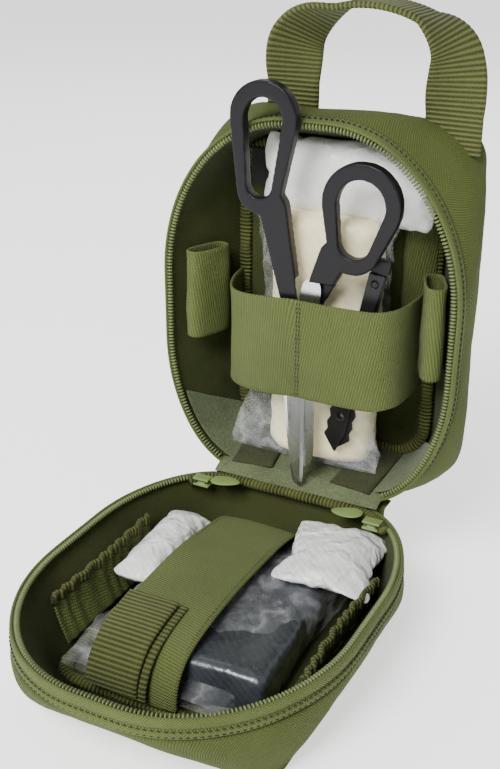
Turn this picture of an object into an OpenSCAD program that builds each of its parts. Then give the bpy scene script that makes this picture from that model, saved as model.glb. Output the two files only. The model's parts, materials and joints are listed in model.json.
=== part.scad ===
// Clamshell first aid pouch, open on its hinge: the front half lies flat and the back half stands up.
// Each half is drawn in its own plane: x across, y up from the hinge, z into the half's depth.

/* [Pouch] */
// Width of the zipper line
rim_w = 150; // [146:1:156]
// Height of the zipper line, from the hinge to the top
rim_h = 182; // [180:1:188]
// Depth of the front half, which lies on the ground
front_depth = 42; // [40:1:46]
// Depth of the back half
back_depth = 46; // [45:1:50]
// Thickness of the outer fabric with its backing
wall = 2.2; // [1.8:0.1:2.4]
// Depth of the plain band that carries the zipper
band_depth = 10.5; // [9.5:0.5:12]

/* [Handle] */
// Width of the carrying handle's webbing
handle_w = 26; // [20:1:28]
// Distance between the handle's two ends
handle_span = 78; // [70:1:84]
// Height of the handle over the top of the pouch
handle_h = 49; // [40:1:54]

/* [Straps] */
// Width of the elastic strap in the back half
back_strap_w = 48; // [40:1:50]
// Width of the elastic strap in the front half
front_strap_w = 40; // [34:1:42]
// Width of one row of load webbing
webbing_w = 25.4; // [20:0.2:26]
// Distance between rows of load webbing
webbing_pitch = 50.8; // [46:0.2:52]

/* [Shears] */
// Distance from the pivot to the tip
shears_blade = 76; // [70:1:76]
// Thickness of one blade
shears_t = 1.6; // [1.2:0.1:1.8]
// Thickness of the moulded finger rings
ring_t = 6; // [5:0.2:6]

/* [Hidden] */

olive = [0.36, 0.41, 0.20];
dark_olive = [0.27, 0.31, 0.16];
pale_olive = [0.50, 0.56, 0.33];
charcoal = [0.13, 0.13, 0.15];
steel = [0.72, 0.73, 0.74];
gauze_white = [0.92, 0.92, 0.90];
cream = [0.90, 0.86, 0.74];

hinge_z = front_depth;
arc_steps = 10;
skin = 0.9;           // thickness of the lining and the inner panels
gap = 0.3;            // clearance between layers
thin = 0.2;           // thickness of the slabs that a hull joins
teeth_in = 4;         // inner edge of the zipper teeth, from the rim
lining_start = 4;     // depth where the lining starts behind the zipper

// Each half: depth, panel [half width, bottom, top, corner, shift], seam [the same]
back_half = [back_depth, [64, 1, rim_h - 4, 16, 5], [54, 8.5, rim_h - 17, 18, 1]];
front_half = [front_depth, [61, 6, rim_h - 30, 13, 0], [53, 12, rim_h - 39, 14, 0]];

// The hinge line, measured from the middle of the face that rests on the ground
base_y = (front_half[1][1] + front_half[1][2]) / 2;

function seam_depth(h) = h[0] - wall - 2.2;

function arc(cx, cy, rx, ry, a) =
    [for (i = [0:arc_steps]) [cx + rx * cos(a + 90 * i / arc_steps),
                              cy + ry * sin(a + 90 * i / arc_steps)]];

// A rectangle whose four corners are quarter ellipses
function outline(hw, low, high, ta, tb, ba, bb) = concat(
    arc(hw - ta, high - tb, ta, tb, 0), arc(-hw + ta, high - tb, ta, tb, 90),
    arc(-hw + ba, low + bb, ba, bb, 180), arc(hw - ba, low + bb, ba, bb, 270));

function rim(i) = outline(rim_w / 2 - i, i, rim_h - i, 66 - i, 80 - i, 43 - i, 70 - i);
function box_outline(b, i) =
    outline(b[0] - i, b[1] + i, b[2] - i, b[3] - i / 2, b[3] - i / 2, b[3] - i / 2, b[3] - i / 2);

// Height of the rim line at a distance x from the middle, near the hinge
function rim_low(x) = abs(x) < rim_w / 2 - 43 ? 0
    : 70 * (1 - sqrt(1 - pow((abs(x) - rim_w / 2 + 43) / 43, 2)));

module lay() translate([0, base_y, hinge_z]) rotate([180, 0, 0]) children();
module stand() translate([0, base_y, hinge_z]) mirror([0, 1, 0]) rotate([90, 0, 0]) children();

module rim_slab(i, d, t) translate([0, 0, d]) linear_extrude(t) polygon(rim(i));
module box_slab(b, i, d, t) translate([b[4], 0, d]) linear_extrude(t) polygon(box_outline(b, i));

// The space inside a half, t inside its lining's outer face
module cavity(h, t, bottom) hull() {
    rim_slab(1.7 + t, lining_start, thin);
    box_slab(h[2], t, seam_depth(h) + bottom - thin, thin);
}

module outer_form(h, i, bottom) hull() {
    rim_slab(i, band_depth - (i > 0 && i < wall + gap ? thin : 0), thin);
    box_slab(h[1], i, h[0] - bottom - thin, thin);
}

module shell(h) difference() {
    outer_form(h, 0, 0);
    outer_form(h, wall, wall);
}

module padding(h) difference() {
    outer_form(h, wall + gap, wall + gap);
    cavity(h, -0.2, 0);
}

module lining(h) difference() {
    cavity(h, 0, 0);
    cavity(h, skin, 0.05);
}

module inner_panel(h)
    box_slab(h[2], skin + 0.3, seam_depth(h) - skin - 0.2, skin);

module binding(h) translate([0, 0, seam_depth(h) - skin - 0.3 - 2.4]) difference() {
    box_slab(h[2], skin + 1.2, 0, 2.4);
    box_slab(h[2], skin + 6.5, -1, 5);
}

module zipper_tape() difference() {
    rim_slab(0, 0.4, band_depth - 0.5);
    rim_slab(1.5, 0, band_depth + 1);
}

module zipper_teeth() difference() {
    rim_slab(1.55, 0.4, 2.8);
    rim_slab(teeth_in, 0, 4);
}

// A block with round edges along y, standing on z = 0
module pillow(w, l, t, r) hull()
    for (x = [-w / 2 + r, w / 2 - r], y = [-l / 2 + r, l / 2 - r])
        translate([x, y, 0]) {
            translate([0, 0, t / 2]) cylinder(h = t / 2, r1 = r, r2 = r / 2, $fn = 32);
            cylinder(h = t / 2, r1 = r / 2, r2 = r, $fn = 32);
        }

function unit(v) = v / norm(v);

// Half thickness across the line at point i, lengthened where the line bends
function across(p, i, t) = let (
    a = i > 0 ? unit(p[i] - p[i - 1]) : unit(p[1] - p[0]),
    b = i < len(p) - 1 ? unit(p[i + 1] - p[i]) : a,
    m = unit(a + b)
) [-m[1], m[0]] * t / 2 / (m * b);

// A flat strip of thickness t along a line of points
module strip(p, t) polygon(concat(
    [for (i = [0:len(p) - 1]) p[i] + across(p, i, t)],
    [for (i = [len(p) - 1:-1:0]) p[i] - across(p, i, t)]));

// ---- front half ----
module front_shell() color(olive) lay() shell(front_half);
module front_padding() color(dark_olive) lay() padding(front_half);
module front_lining() color(dark_olive) lay() lining(front_half);
module front_panel() color(olive) lay() inner_panel(front_half);
module front_binding() color(dark_olive) lay() binding(front_half);
module front_zipper_tape() color(olive) lay() zipper_tape();
module front_zipper_teeth() color(pale_olive) lay() zipper_teeth();

// The strap's middle line, as distance from the hinge and depth under the rim
front_strap_x = -8;
front_strap_line = [[15, 33], [18, 21], [25, 11.4], [40, 7.4], [60, 5.6], [80, 5], [100, 5.8],
                    [118, 7.8], [130, 11.4], [137, 17], [140.5, 24], [141.5, 32]];
module front_strap() color(olive) lay()
    translate([front_strap_x - front_strap_w / 2, 0, 0]) rotate([0, 90, 0])
        linear_extrude(front_strap_w) mirror([1, 0])
            strip([for (p = front_strap_line) [p[1], p[0]]], 1.4);

tab_line = [[108, 6.6], [120, 8.4], [131, 11.6], [138.5, 17.4], [142.4, 24], [143.4, 30]];
module webbing_tab(x, lift, short) color(dark_olive) lay()
    translate([x, 0, 0]) rotate([0, 90, 0]) linear_extrude(24) mirror([1, 0])
        strip([for (p = tab_line) [p[1] - lift, p[0] + lift * 0.9 + short]], 1.3);
module pull_tab_upper() webbing_tab(front_strap_x - 19.5, 3.7, 0);
module pull_tab_lower() webbing_tab(front_strap_x - 16, 1.75, 0.4);

// Gathered pockets on the two side walls: a plate that leans off the wall, closest at its foot
pocket_line = [[60, 12], [56.6, 22], [53.4, 32]];
module wall_pocket(side) color(olive) lay() translate([0, 122, 0]) rotate([90, 0, 0])
    linear_extrude(76) strip([for (p = pocket_line) [side * p[0], p[1]]], 1.3);
module front_pocket_left() wall_pocket(-1);
module front_pocket_right() wall_pocket(1);

module fabric_hinge() color(olive)
    translate([-44, base_y + 0.3, hinge_z - 12]) cube([88, 1, 11.2]);

slider_x = 46;
slider_y = rim_low(slider_x + 4.5) + teeth_in + 0.8;
module slider(side) color(pale_olive) lay() translate([side * slider_x, slider_y, -1]) {
    translate([-4.5, 0, 0]) cube([9, 5.6, 1.4]);
    translate([-4.5, 0, 3.2]) cube([9, 5.6, 1.4]);
    translate([-2, 1.2, 1]) cube([4, 3.2, 3]);
}
module slider_left() slider(-1);
module slider_right() slider(1);

// A leaf-shaped pull, pinned on the slider's inner end and pointing to the middle
pull_y = slider_y + 2.8;
module zipper_pull(side) color(pale_olive) lay()
    translate([side * (slider_x - 5.9), pull_y, -1.7]) {
        rotate([90, 0, 0]) translate([0, 0, -2]) cylinder(h = 4, r = 1, $fn = 32);
        translate([0, 0, -0.8]) linear_extrude(1.6) polygon([
            for (i = [0:24]) let (t = i / 24) [-side * 15.5 * t, -1.7 - 2.6 * sin(180 * t)],
            for (i = [24:-1:0]) let (t = i / 24) [-side * 15.5 * t, 1.7 + 2.6 * sin(180 * t)]
        ]);
    }
module zipper_pull_left() zipper_pull(-1);
module zipper_pull_right() zipper_pull(1);

content_z = hinge_z - seam_depth(front_half) + skin + 1;
module pressure_bandage() color(charcoal)
    translate([5, base_y - 79, content_z]) rotate([0, 0, 4]) pillow(74, 104, 23, 5);
module gauze_packet_left() color(gauze_white)
    translate([-45.5, base_y - 58, content_z + 11]) pillow(17.4, 60, 16, 5);
module gauze_packet_right() color(gauze_white)
    translate([34, base_y - 42, content_z + 23.6]) rotate([0, 0, 12]) pillow(34, 44, 5.6, 4);

// ---- back half ----
module back_shell() color(olive) stand() shell(back_half);
module back_padding() color(dark_olive) stand() padding(back_half);
module back_lining() color(dark_olive) stand() lining(back_half);
module back_panel() color(olive) stand() inner_panel(back_half);
module back_binding() color(dark_olive) stand() binding(back_half);
module back_zipper_tape() color(olive) stand() zipper_tape();
module back_zipper_teeth() color(pale_olive) stand() zipper_teeth();

// The floor of the back half rises a little towards the panel
floor_angle = atan((back_half[2][1] - 1.7) / (seam_depth(back_half) - lining_start));
module on_floor(x, d, lift) stand()
    translate([x, 2.2 + skin + gap + lift, lining_start]) rotate([floor_angle * -1, 0, 0])
        translate([0, 0, d]) children();
module floor_gusset() color(pale_olive) on_floor(0, 1, 0)
    translate([-38, 0, 0]) cube([76, 0.8, 31]);
module gusset_strap(x) color(dark_olive) on_floor(x, 3, 1.1)
    translate([-10.5, 0, 0]) cube([21, 1.2, 28]);
module gusset_strap_left() gusset_strap(-27);
module gusset_strap_right() gusset_strap(27);

// The strap's middle line, as place across and depth, seen from above
back_strap_low = 59;
back_strap_line = [[-50, 36], [-46, 20], [-38, 4], [-27, -5], [-12, -9], [4, -9.4], [24, -9],
                   [39, -6.6], [46.2, 3], [48.3, 20], [48.3, 33.4]];
module back_strap() color(olive) stand()
    translate([0, back_strap_low, 0]) rotate([-90, 0, 0]) mirror([0, 1, 0])
        linear_extrude(back_strap_w) strip(back_strap_line, 1.4);

// A flat elastic sleeve, open at both ends, on a side wall
wall_slope = 22;
module sleeve(side) translate([side * 62, 68, 17]) rotate([0, -side * wall_slope, 0])
    rotate([-90, 0, 0]) linear_extrude(44) difference() {
        translate([-side * 4 - 4.8, -12]) square([9.6, 24]);
        translate([-side * 4 - 3.6, -10.8]) square([7.2, 21.6]);
    }
module elastic_loop_left() color(olive) stand() sleeve(-1);
module elastic_loop_right() color(olive) stand() translate([0, 0, 2]) sleeve(1);

module inner_pocket() color(olive) stand() translate([37.5, 74, 34]) cube([11, 60, 1.4]);
module blank_label() color(charcoal) stand() translate([-45, 141, 36.8]) cube([15, 18, 0.8]);

handle_x = 17;
handle_d = 33;
handle_t = 2.6;
handle_foot = 18;     // height of the flat ends, under the arch
handle_line = [for (i = [0:14]) let (a = 180 - 180 * i / 14)
    [handle_span / 2 * cos(a), handle_foot + (handle_h - handle_foot) * pow(sin(a), 0.8)]];
module carry_handle() color(olive) stand() translate([handle_x, rim_h + 1.2, handle_d]) {
    translate([0, 0, -handle_w / 2]) linear_extrude(handle_w) strip(handle_line, handle_t);
    for (s = [-1, 1]) translate([s * handle_span / 2 - handle_w / 2, 0, -handle_t / 2])
        cube([handle_w, handle_foot + 2, handle_t]);
}

module triangular_bandage() color(gauze_white) stand()
    translate([9, 152.5, 13]) pillow(76, 23, 22, 5);
module gauze_roll() color(cream) stand()
    translate([4, 77, 4.5]) pillow(58, 124, 33, 12);

// Shears: seen from the front, the long ring is on the left and the round ring on the right
shears_x = 1;
pivot_y = 81;
tip_y = pivot_y - shears_blade;
long_ring = [-20, 169];
round_ring = [27.5, 142.5];

module egg(w, l) hull() {
    translate([0, l / 2 - w / 2]) circle(d = w, $fn = 48);
    translate([0, -l / 2 + w / 3]) circle(d = w / 1.5, $fn = 48);
}
module bar(a, b, wa, wb) hull() {
    translate(a) circle(d = wa, $fn = 32);
    translate(b) circle(d = wb, $fn = 32);
}
module ring_long() difference() {
    union() {
        translate(long_ring) rotate(-3) egg(33, 60);
        bar(long_ring + [6, -26], [-4.5, 100], 14, 9);
    }
    translate(long_ring) rotate(-3) egg(19, 45);
}
module ring_round() difference() {
    union() {
        translate(round_ring) rotate(-8) egg(37, 51);
        bar(round_ring + [-11, -18], [6, 100], 14, 9);
    }
    translate(round_ring) rotate(-8) egg(23, 36);
}
module in_front(d) stand() translate([shears_x, 0, -d]) children();
module shears_handle_long() color(charcoal) in_front(ring_t + 1) difference() {
    linear_extrude(ring_t) ring_long();
    translate([-20, 88, ring_t / 2 + 0.1 - shears_t - gap]) cube([40, 23, ring_t]);
}
module shears_handle_round() color(charcoal) in_front(ring_t + 1) difference() {
    linear_extrude(ring_t) ring_round();
    translate([-20, 88, -1]) cube([40, 23, ring_t / 2 + 1 + shears_t + gap - 0.1]);
}
// A blade hangs on the pivot, and its tang goes up into its own handle
module blade(side) difference() {
    union() {
        polygon([[side * -7, pivot_y + 6], [side * -6.5, pivot_y - 10], [side * 1, tip_y + 11],
                 [side * 3.2, tip_y + 1], [side * 4.6, tip_y], [side * 6, tip_y + 3],
                 [side * 5.2, tip_y + 15], [side * 3.5, pivot_y - 12], [side * 7, pivot_y + 4],
                 [side * 8.5, 109], [side * 2.5, 109]]);
        translate([0, pivot_y]) circle(r = 7, $fn = 48);
    }
    translate([0, pivot_y]) circle(r = 2.55, $fn = 48);
}
mid_d = ring_t / 2 + 1;
module blade_at(d, side) in_front(d) linear_extrude(shears_t) blade(side);
module shears_blade_long() color(steel) blade_at(mid_d + shears_t + 0.1, -1);
module shears_blade_round() color(steel) blade_at(mid_d - 0.1, 1);
module shears_screw() color(steel) in_front(mid_d + shears_t + 1.6)
    translate([0, pivot_y, 0]) {
        cylinder(h = 1.3, r = 4.2, $fn = 48);
        cylinder(h = 2 * shears_t + 3.1, r = 2.5, $fn = 48);
        translate([0, 0, 2 * shears_t + 1.9]) cylinder(h = 1, r = 3.8, $fn = 48);
    }

// A small pocket tool: two toothed leaves on one pin, under a moulded cap
tool_tip = [18, 24];
tool_top = [37, 121];
tool_angle = atan2(tool_top[1] - tool_tip[1], tool_top[0] - tool_tip[0]) - 90;
tool_l = norm(tool_top - tool_tip);
module leaf(side) difference() {
    polygon([
        [-side * 1, 0], [side * 3, 4],
        for (i = [0:8]) [side * (i % 2 == 0 ? 6.6 : 5.4), 8 + 3.4 * i],
        [side * 4.6, 44], [side * 4, tool_l - 14], [side * 4, tool_l - 4],
        [-side * 4, tool_l - 4], [-side * 3, tool_l - 20], [-side * 2.4, 40], [-side * 4, 12]
    ]);
    translate([side * 0.6, 34]) circle(r = 1.5, $fn = 32);
    translate([side * 0.6, 20]) circle(r = 1.8, $fn = 6);
    translate([0, tool_l - 9]) circle(r = 1.65, $fn = 32);
}
module tool_place(d) stand() translate([tool_tip[0], tool_tip[1], d]) rotate(tool_angle) children();
module tool_leaf_front() color(charcoal) tool_place(0.5) linear_extrude(1.1) leaf(-1);
module tool_leaf_back() color(charcoal) tool_place(1.9) linear_extrude(1.1) leaf(1);
module tool_pin() color(steel) tool_place(0.3) translate([0, tool_l - 9, 0])
    cylinder(h = 2.9, r = 1.6, $fn = 32);
module tool_cap() color(charcoal) tool_place(0) difference() {
    translate([-5.2, tool_l - 3.4, 0]) cube([10.4, 7, 3.5]);
    translate([-6, tool_l - 5, 0.3]) cube([12, 3.4, 2.9]);
}

// ---- rear: the panel that tears away, with its load webbing and straps ----
rear_d = back_depth + 0.5;
rear_x = back_half[1][4];
panel_w = 116;
panel_low = 12;
panel_h = 156;
module rip_away_panel() color(olive) stand()
    box_slab([panel_w / 2, panel_low, panel_low + panel_h, 10, rear_x], 0, rear_d, 2.4);

row_low = 26;
module load_webbing() color(dark_olive) stand() for (i = [0:2])
    translate([rear_x - panel_w / 2 - 2, row_low + i * webbing_pitch, rear_d + 2.5])
        cube([panel_w + 4, webbing_w, 1.5]);

strap_y0 = 16;
strap_y1 = 160;
module mounting_strap(x) color(dark_olive) stand()
    translate([x - 12.7, strap_y0, rear_d + 4.4]) cube([25.4, strap_y1 - strap_y0, 1.6]);
module mounting_strap_left() mounting_strap(rear_x - 30);
module mounting_strap_right() mounting_strap(rear_x + 30);
module snap(x) color(charcoal) stand()
    translate([x, strap_y0 + 9, rear_d + 6.05]) {
        cylinder(h = 1.2, r = 7.5, $fn = 64);
        cylinder(h = 2.2, r1 = 7, r2 = 5, $fn = 64);
    }
module snap_left() snap(rear_x - 30);
module snap_right() snap(rear_x + 30);

front_shell();
front_padding();
front_lining();
front_panel();
front_binding();
front_zipper_tape();
front_zipper_teeth();
front_strap();
pull_tab_upper();
pull_tab_lower();
front_pocket_left();
front_pocket_right();
fabric_hinge();
slider_left();
slider_right();
zipper_pull_left();
zipper_pull_right();
pressure_bandage();
gauze_packet_left();
gauze_packet_right();
back_shell();
back_padding();
back_lining();
back_panel();
back_binding();
back_zipper_tape();
back_zipper_teeth();
floor_gusset();
gusset_strap_left();
gusset_strap_right();
back_strap();
elastic_loop_left();
elastic_loop_right();
inner_pocket();
blank_label();
carry_handle();
triangular_bandage();
gauze_roll();
shears_handle_long();
shears_blade_long();
shears_handle_round();
shears_blade_round();
shears_screw();
tool_leaf_front();
tool_leaf_back();
tool_pin();
tool_cap();
rip_away_panel();
load_webbing();
mounting_strap_left();
mounting_strap_right();
snap_left();
snap_right();
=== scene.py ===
import json
import math
import bmesh
import bpy
import numpy as np
from mathutils import Matrix, Vector, noise


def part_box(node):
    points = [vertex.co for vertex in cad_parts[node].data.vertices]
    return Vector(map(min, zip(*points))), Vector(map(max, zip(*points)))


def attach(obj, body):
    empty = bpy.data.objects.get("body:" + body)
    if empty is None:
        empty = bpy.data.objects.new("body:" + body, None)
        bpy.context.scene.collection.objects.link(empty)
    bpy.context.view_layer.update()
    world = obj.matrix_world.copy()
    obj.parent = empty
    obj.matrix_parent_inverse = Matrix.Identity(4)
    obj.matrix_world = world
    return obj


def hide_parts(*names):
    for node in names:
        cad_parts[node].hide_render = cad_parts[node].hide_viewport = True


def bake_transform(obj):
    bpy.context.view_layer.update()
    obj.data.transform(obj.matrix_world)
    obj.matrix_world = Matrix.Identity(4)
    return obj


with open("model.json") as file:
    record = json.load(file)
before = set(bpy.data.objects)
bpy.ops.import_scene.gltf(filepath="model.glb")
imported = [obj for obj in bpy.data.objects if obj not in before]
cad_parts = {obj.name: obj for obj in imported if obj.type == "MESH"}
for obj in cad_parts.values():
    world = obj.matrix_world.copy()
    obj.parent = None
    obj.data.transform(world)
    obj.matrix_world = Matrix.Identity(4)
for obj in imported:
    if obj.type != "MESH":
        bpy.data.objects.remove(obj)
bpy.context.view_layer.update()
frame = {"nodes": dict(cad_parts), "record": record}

record = frame["record"]
hinge = [j for j in record["behaviour"]["joints"] if j["name"] == "clamshell"][0]["pos_m"]
mm = 0.001

# Camera, light and floor
cameraSettings = dict(place=(0.2058, -0.380, 0.3229), azimuth=26.87, elevation=24.12, roll=0.42, lens=53.6)


def makeCamera():
    data = bpy.data.cameras.new("camera")
    data.sensor_width = 36
    data.lens = cameraSettings["lens"]
    cam = bpy.data.objects.new("camera", data)
    bpy.context.collection.objects.link(cam)
    az, el = math.radians(cameraSettings["azimuth"]), math.radians(cameraSettings["elevation"])
    back = Vector((math.sin(az) * math.cos(el), -math.cos(az) * math.cos(el), math.sin(el)))
    right = (-back).cross(Vector((0, 0, 1))).normalized()
    up = right.cross(-back)
    turn = math.radians(cameraSettings["roll"])
    rolledRight = right * math.cos(turn) + up * math.sin(turn)
    rolledUp = up * math.cos(turn) - right * math.sin(turn)
    axes = Matrix((rolledRight, rolledUp, back)).transposed().to_4x4()
    cam.matrix_world = Matrix.Translation(cameraSettings["place"]) @ axes
    bpy.context.scene.camera = cam


lights = dict(
    key=dict(place=(-0.10, -1.15, 1.25), size=0.7, watts=42),
    fill=dict(place=(-1.2, -0.7, 0.8), size=1.2, watts=5),
    rear=dict(place=(-0.3, 1.2, 1.1), size=1.0, watts=8),
)


def makeStudio():
    for name, s in lights.items():
        data = bpy.data.lights.new(name, "AREA")
        data.energy, data.size = s["watts"], s["size"]
        lamp = bpy.data.objects.new(name, data)
        bpy.context.collection.objects.link(lamp)
        lamp.location = s["place"]
        lamp.rotation_euler = (Vector((0, 0, 0.1)) - lamp.location).to_track_quat("-Z", "Y").to_euler()
    world = bpy.data.worlds.new("studio")
    bpy.context.scene.world = world
    world.use_nodes = True
    world.node_tree.nodes["Background"].inputs["Color"].default_value = (1.0, 1.0, 1.0, 1)
    world.node_tree.nodes["Background"].inputs["Strength"].default_value = 0.55
    mesh = bpy.data.meshes.new("floor")
    mesh.from_pydata([(-4, -4, 0), (4, -4, 0), (4, 4, 0), (-4, 4, 0)], [], [(0, 1, 2, 3)])
    floor = bpy.data.objects.new("floor", mesh)
    bpy.context.collection.objects.link(floor)
    pale = bpy.data.materials.new("paleFloor")
    pale.use_nodes = True
    shader = pale.node_tree.nodes["Principled BSDF"]
    shader.inputs["Base Color"].default_value = (0.96, 0.96, 0.96, 1)
    shader.inputs["Roughness"].default_value = 0.9
    shader.inputs["Emission Color"].default_value = (1, 1, 1, 1)
    shader.inputs["Emission Strength"].default_value = 1.05
    mesh.materials.append(pale)


makeCamera()
makeStudio()
print("camera, light and floor are in place")

# Materials


def addNode(tree, kind, inputs=(), **settings):
    node = tree.nodes.new(kind)
    for key, value in settings.items():
        setattr(node, key, value)
    for key, value in dict(inputs).items():
        if isinstance(value, bpy.types.NodeSocket):
            tree.links.new(value, node.inputs[key])
        else:
            node.inputs[key].default_value = value
    return node


def sums(tree, operation, a, b=0.0, c=0.0):
    return addNode(tree, "ShaderNodeMath", {0: a, 1: b, 2: c}, operation=operation).outputs[0]


def mixColour(tree, share, dark, light):
    node = tree.nodes.new("ShaderNodeMix")
    node.data_type = "RGBA"
    for socket, value in ((node.inputs[0], share), (node.inputs[6], dark), (node.inputs[7], light)):
        if isinstance(value, bpy.types.NodeSocket):
            tree.links.new(value, socket)
        else:
            socket.default_value = value if isinstance(value, float) else (*value, 1)
    return node.outputs[2]


def newMaterial(name, rough, sheen=0.0, metallic=0.0, coat=0.0, shine=0.5):
    mat = bpy.data.materials.new(name)
    mat.use_nodes = True
    shader = mat.node_tree.nodes["Principled BSDF"]
    shader.inputs["Roughness"].default_value = rough
    shader.inputs["Metallic"].default_value = metallic
    shader.inputs["Sheen Weight"].default_value = sheen
    shader.inputs["Sheen Roughness"].default_value = 0.6
    shader.inputs["Coat Weight"].default_value = coat
    shader.inputs["Coat Roughness"].default_value = 0.18
    shader.inputs["Specular IOR Level"].default_value = shine
    return mat, mat.node_tree, shader


def cloudNoise(tree, coordinates, scale, detail=3.0):
    inputs = {"Vector": coordinates, "Scale": scale, "Detail": detail}
    return addNode(tree, "ShaderNodeTexNoise", inputs).outputs[0]


def setBump(tree, shader, height, strength, distance):
    bump = addNode(tree, "ShaderNodeBump", {"Height": height, "Strength": strength, "Distance": distance})
    tree.links.new(bump.outputs[0], shader.inputs["Normal"])


# Woven cloth in the piece's own map: u runs across and v along, both in metres.
def wovenMaterial(name, dark, light, across, along, twill=0.0, ribs=0.0, rough=0.88, sheen=0.04, bump=0.6,
                  relief=0.0004):
    mat, tree, shader = newMaterial(name, rough, sheen, shine=0.12)
    uv = addNode(tree, "ShaderNodeUVMap", uv_map="weave").outputs[0]
    split = addNode(tree, "ShaderNodeSeparateXYZ", {0: uv})
    u, v = split.outputs[0], split.outputs[1]
    slanted = sums(tree, "MULTIPLY_ADD", u, twill, v)
    warp = sums(tree, "SINE", sums(tree, "MULTIPLY", u, math.tau / across))
    weft = sums(tree, "SINE", sums(tree, "MULTIPLY", slanted, math.tau / along))
    cell = sums(tree, "MULTIPLY_ADD", sums(tree, "MULTIPLY", warp, weft), 0.5 - 0.5 * ribs, 0.5)
    height = sums(tree, "MULTIPLY_ADD", weft, 0.5 * ribs, cell)
    objectPlace = addNode(tree, "ShaderNodeTexCoord").outputs["Object"]
    fibre = cloudNoise(tree, objectPlace, 1500.0, 2.0)
    fade = cloudNoise(tree, objectPlace, 34.0, 4.0)
    share = sums(tree, "ADD", sums(tree, "MULTIPLY", height, 0.85), sums(tree, "MULTIPLY", fade, 0.40))
    share = sums(tree, "MULTIPLY_ADD", fibre, 0.5, sums(tree, "SUBTRACT", share, 0.33))
    colour = mixColour(tree, share, dark, light)
    tree.links.new(colour, shader.inputs["Base Color"])
    rough = sums(tree, "MULTIPLY_ADD", height, -0.12, rough + 0.04)
    tree.links.new(rough, shader.inputs["Roughness"])
    setBump(tree, shader, sums(tree, "MULTIPLY_ADD", fibre, 0.35, height), bump, relief)
    return mat


def fuzzyMaterial(name, dark, light, scale, relief, sheen):
    mat, tree, shader = newMaterial(name, 0.95, sheen, shine=0.12)
    place = addNode(tree, "ShaderNodeTexCoord").outputs["Object"]
    pile = cloudNoise(tree, place, scale, 4.0)
    patches = cloudNoise(tree, place, scale * 0.06, 3.0)
    share = sums(tree, "MULTIPLY_ADD", pile, 1.1, sums(tree, "MULTIPLY_ADD", patches, 0.7, -0.45))
    tree.links.new(mixColour(tree, share, dark, light), shader.inputs["Base Color"])
    setBump(tree, shader, pile, 0.9, relief)
    return mat


def mouldedMaterial(name, colour, rough=0.42, grain=900.0, metallic=0.0, wear=0.35, shine=0.5):
    mat, tree, shader = newMaterial(name, rough, metallic=metallic, shine=shine)
    place = addNode(tree, "ShaderNodeTexCoord").outputs["Object"]
    fine = cloudNoise(tree, place, grain, 2.0)
    broad = cloudNoise(tree, place, 60.0, 3.0)
    dark = tuple(c * (1 - wear) for c in colour)
    light = tuple(min(1.0, c * (1 + wear)) for c in colour)
    tree.links.new(mixColour(tree, broad, dark, light), shader.inputs["Base Color"])
    tree.links.new(sums(tree, "MULTIPLY_ADD", broad, 0.22, rough - 0.1), shader.inputs["Roughness"])
    setBump(tree, shader, fine, 0.35, 0.00008)
    return mat


def steelMaterial(name, colour, rough, along):
    mat, tree, shader = newMaterial(name, rough, 0.0, 1.0)
    place = addNode(tree, "ShaderNodeTexCoord").outputs["Object"]
    stretched = addNode(tree, "ShaderNodeMapping", {"Vector": place, "Scale": along}).outputs[0]
    brushed = cloudNoise(tree, stretched, 420.0, 3.0)
    broad = cloudNoise(tree, place, 45.0, 3.0)
    dark = tuple(c * 0.62 for c in colour)
    tree.links.new(mixColour(tree, brushed, dark, colour), shader.inputs["Base Color"])
    tree.links.new(sums(tree, "MULTIPLY_ADD", broad, 0.25, rough - 0.1), shader.inputs["Roughness"])
    setBump(tree, shader, brushed, 0.25, 0.00006)
    return mat


# Gauze seen through frosted film: a faint weave, soft lumps and sharp creases.
def packetMaterial(name, dark, light, rough=0.32, creases=1.0, weave=0.0011, threadShow=0.22):
    mat, tree, shader = newMaterial(name, rough, 0.0, 0.0, 0.35)
    place = addNode(tree, "ShaderNodeTexCoord").outputs["Object"]
    lumps = cloudNoise(tree, place, 55.0, 5.0)
    swirl = addNode(tree, "ShaderNodeTexNoise", {"Vector": place, "Scale": 60.0}).outputs["Color"]
    offset = addNode(tree, "ShaderNodeVectorMath", {0: swirl, 3: 0.02}, operation="SCALE").outputs[0]
    warped = addNode(tree, "ShaderNodeVectorMath", {0: place, 1: offset}, operation="ADD").outputs[0]
    cracks = addNode(tree, "ShaderNodeTexVoronoi", {"Vector": warped, "Scale": 70.0},
                     feature="DISTANCE_TO_EDGE").outputs[0]
    ridge = sums(tree, "MINIMUM", sums(tree, "MULTIPLY", cracks, 5.0), 1.0)
    waves = {"Vector": place, "Scale": 1 / weave / 6.3, "Distortion": 3.0, "Detail": 1.0}
    threads = addNode(tree, "ShaderNodeTexWave", waves, bands_direction="DIAGONAL").outputs[1]
    share = sums(tree, "MULTIPLY_ADD", lumps, 0.9, sums(tree, "MULTIPLY", threads, threadShow))
    tree.links.new(mixColour(tree, share, dark, light), shader.inputs["Base Color"])
    tree.links.new(sums(tree, "MULTIPLY_ADD", lumps, 0.35, rough - 0.15), shader.inputs["Roughness"])
    height = sums(tree, "MULTIPLY_ADD", ridge, -0.8 * creases, sums(tree, "MULTIPLY", lumps, 1.6))
    setBump(tree, shader, height, 0.7, 0.0012)
    return mat


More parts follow.
